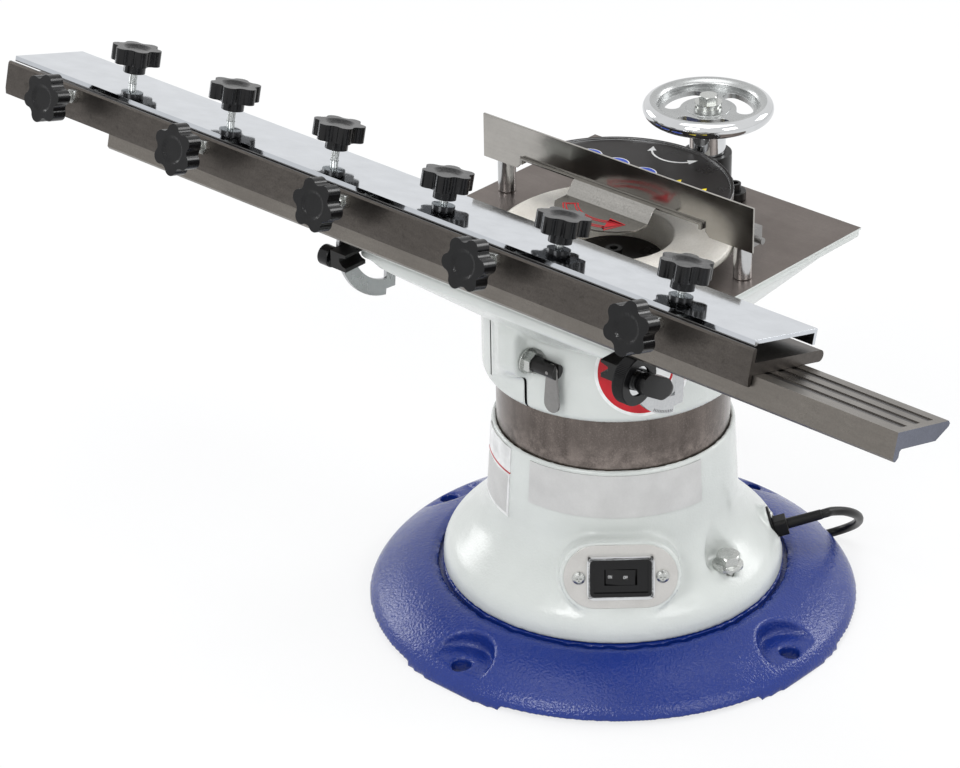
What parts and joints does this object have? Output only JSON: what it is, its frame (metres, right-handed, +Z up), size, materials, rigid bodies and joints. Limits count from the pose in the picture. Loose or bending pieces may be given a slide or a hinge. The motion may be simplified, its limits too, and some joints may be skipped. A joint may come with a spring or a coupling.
{
  "type": "planer knife grinder",
  "caption": "Bench sharpening machine for long planer knives: cup wheel under a height-adjustable table, tilting slideway and clamping knife carriage.",
  "frame": {"origin": "on the motor axis, in the plane of the four bolt pads under the foot", "axes": "+Z up along the motor axis, +X along the slideway, -Y towards the knife holder at the front"},
  "size_m": [0.8745, 0.4678, 0.3954],
  "materials": {
    "blue_paint": "semi-gloss",
    "white_paint": "gloss",
    "column_steel": "satin",
    "zinc": "satin",
    "bright_steel": "polished",
    "ground_steel": "satin",
    "carriage_steel": "satin",
    "slideway_steel": "satin",
    "mirror_sheet": "polished",
    "wheel_grit": "matte",
    "black_plastic": "gloss",
    "black_matte": "matte",
    "cord_rubber": "matte",
    "black_metal": "semi-gloss",
    "aluminium": "satin",
    "bronze": "satin",
    "copper_iron": "matte",
    "disc_black": "gloss"
  },
  "bodies": {
    "root": {"base_casting": "blue_paint", "lower_housing": "white_paint", "housing_bolts": "zinc", "switch_plate": "zinc", "switch_plate_screws": "zinc", "switch_bezel": "black_plastic", "gland_plate": "black_matte", "cord_clamp": "black_matte", "gland_screws": "zinc", "column_tube": "column_steel", "motor_stator": "copper_iron", "bearings": "bright_steel", "bearing_carriers": "aluminium", "capacitor": "aluminium", "lift_nut": "bronze", "power_cord": "cord_rubber", "cord_coil": "cord_rubber", "mains_plug": "cord_rubber"},
    "head": {"head_casting": "white_paint", "guard_posts": "bright_steel", "clamp_blocks": "black_metal", "screw_bracket": "black_metal", "bracket_screws": "black_metal", "clamp_washer": "zinc", "pivot_bolts": "zinc"},
    "handwheel": {"handwheel": "bright_steel", "lead_screw": "bright_steel", "handwheel_bolt": "zinc"},
    "spindle": {"spindle_shaft": "ground_steel", "motor_rotor": "ground_steel", "cooling_fan": "black_matte", "wheel_flange": "black_metal", "wheel_disc": "black_metal", "grinding_wheel": "wheel_grit", "wheel_screw": "black_metal"},
    "guard": {"deflector_strip": "slideway_steel", "wheel_guard": "disc_black", "guard_clamps": "slideway_steel"},
    "clamp": {"clamp_handle": "black_metal"},
    "flap": {"clamp_flap": "zinc"},
    "tilt": {"slideway": "slideway_steel", "tilt_sectors": "slideway_steel", "sector_screws": "zinc"},
    "left_lock": {"left_tilt_lock": "black_plastic"},
    "right_lock": {"right_tilt_lock": "black_plastic"},
    "carriage": {"knife_carriage": "carriage_steel", "front_lock_nuts": "zinc"},
    "channel": {"clamp_channel": "mirror_sheet"},
    "rocker": {"switch_rocker": "black_plastic"},
    "top_knob_1_body": {"top_knob_1": "black_plastic"},
    "top_knob_2_body": {"top_knob_2": "black_plastic"},
    "top_knob_3_body": {"top_knob_3": "black_plastic"},
    "top_knob_4_body": {"top_knob_4": "black_plastic"},
    "top_knob_5_body": {"top_knob_5": "black_plastic"},
    "top_knob_6_body": {"top_knob_6": "black_plastic"},
    "front_knob_1_body": {"front_knob_1": "black_plastic"},
    "front_knob_2_body": {"front_knob_2": "black_plastic"},
    "front_knob_3_body": {"front_knob_3": "black_plastic"},
    "front_knob_4_body": {"front_knob_4": "black_plastic"},
    "front_knob_5_body": {"front_knob_5": "black_plastic"}
  },
  "joints": [
    {"name": "handwheel_turn", "type": "hinge", "parent": "head", "child": "handwheel", "pos_m": [0, 0.1102, 0.3785], "axis": [0, 0, 1], "range_deg": [-900, 1800]},
    {"name": "head_lift", "type": "slide", "parent": "root", "child": "head", "axis": [0, 0, 1], "range_m": [-0.005, 0.01]},
    {"name": "wheel_spin", "type": "hinge", "parent": "root", "child": "spindle", "pos_m": [0, 0, 0.29], "axis": [0, 0, 1], "continuous": true},
    {"name": "guard_height", "type": "slide", "parent": "head", "child": "guard", "axis": [0, 0, 1], "range_m": [0, 0.009]},
    {"name": "head_clamp_turn", "type": "hinge", "parent": "head", "child": "clamp", "pos_m": [0, -0.103, 0.2485], "axis": [1, 0, 0], "range_deg": [-150, 5]},
    {"name": "clamp_flap_swing", "type": "hinge", "parent": "clamp", "child": "flap", "pos_m": [0.0285, -0.103, 0.2485], "axis": [0, -1, 0], "range_deg": [0, 100]},
    {"name": "slideway_tilt", "type": "hinge", "parent": "head", "child": "tilt", "pos_m": [0, -0.0925, 0.312], "axis": [-1, 0, 0], "range_deg": [-4.5, 30]},
    {"name": "left_lock_turn", "type": "hinge", "parent": "head", "child": "left_lock", "pos_m": [-0.15, -0.153, 0.304], "axis": [-1, 0, 0], "range_deg": [-15, 90]},
    {"name": "right_lock_turn", "type": "hinge", "parent": "head", "child": "right_lock", "pos_m": [0.15, -0.153, 0.304], "axis": [-1, 0, 0], "range_deg": [-15, 90]},
    {"name": "carriage_slide", "type": "slide", "parent": "tilt", "child": "carriage", "axis": [1, 0, 0], "range_m": [-0.231, 0.469]},
    {"name": "clamp_bar_lift", "type": "slide", "parent": "carriage", "child": "channel", "axis": [0, 0.2554, 0.9668], "range_m": [0, 0.002]},
    {"name": "switch_rock", "type": "hinge", "parent": "root", "child": "rocker", "pos_m": [0.07892, -0.08375, 0.08353], "axis": [-0.1543, 0.1637, 0.9744], "range_deg": [0, 14]},
    {"name": "top_knob_1_turn", "type": "hinge", "parent": "carriage", "child": "top_knob_1_body", "pos_m": [-0.399, -0.1174, 0.36181], "axis": [0, 0.2554, 0.9668], "range_deg": [-360, 360]},
    {"name": "top_knob_2_turn", "type": "hinge", "parent": "carriage", "child": "top_knob_2_body", "pos_m": [-0.287, -0.1174, 0.36181], "axis": [0, 0.2554, 0.9668], "range_deg": [-360, 360]},
    {"name": "top_knob_3_turn", "type": "hinge", "parent": "carriage", "child": "top_knob_3_body", "pos_m": [-0.175, -0.1174, 0.36181], "axis": [0, 0.2554, 0.9668], "range_deg": [-360, 360]},
    {"name": "top_knob_4_turn", "type": "hinge", "parent": "carriage", "child": "top_knob_4_body", "pos_m": [-0.063, -0.1174, 0.36181], "axis": [0, 0.2554, 0.9668], "range_deg": [-360, 360]},
    {"name": "top_knob_5_turn", "type": "hinge", "parent": "carriage", "child": "top_knob_5_body", "pos_m": [0.049, -0.1174, 0.36181], "axis": [0, 0.2554, 0.9668], "range_deg": [-360, 360]},
    {"name": "top_knob_6_turn", "type": "hinge", "parent": "carriage", "child": "top_knob_6_body", "pos_m": [0.161, -0.1174, 0.36181], "axis": [0, 0.2554, 0.9668], "range_deg": [-360, 360]},
    {"name": "front_knob_1_turn", "type": "hinge", "parent": "carriage", "child": "front_knob_1_body", "pos_m": [-0.416, -0.17751, 0.36528], "axis": [0, 0.9668, -0.2554], "range_deg": [-360, 360]},
    {"name": "front_knob_2_turn", "type": "hinge", "parent": "carriage", "child": "front_knob_2_body", "pos_m": [-0.2675, -0.17751, 0.36528], "axis": [0, 0.9668, -0.2554], "range_deg": [-360, 360]},
    {"name": "front_knob_3_turn", "type": "hinge", "parent": "carriage", "child": "front_knob_3_body", "pos_m": [-0.119, -0.17751, 0.36528], "axis": [0, 0.9668, -0.2554], "range_deg": [-360, 360]},
    {"name": "front_knob_4_turn", "type": "hinge", "parent": "carriage", "child": "front_knob_4_body", "pos_m": [0.0295, -0.17751, 0.36528], "axis": [0, 0.9668, -0.2554], "range_deg": [-360, 360]},
    {"name": "front_knob_5_turn", "type": "hinge", "parent": "carriage", "child": "front_knob_5_body", "pos_m": [0.178, -0.17751, 0.36528], "axis": [0, 0.9668, -0.2554], "range_deg": [-360, 360]}
  ],
  "couplings": [
    {"joint": "handwheel_turn", "follows": "head_lift", "rad_per_m": 3141.6}
  ]
}
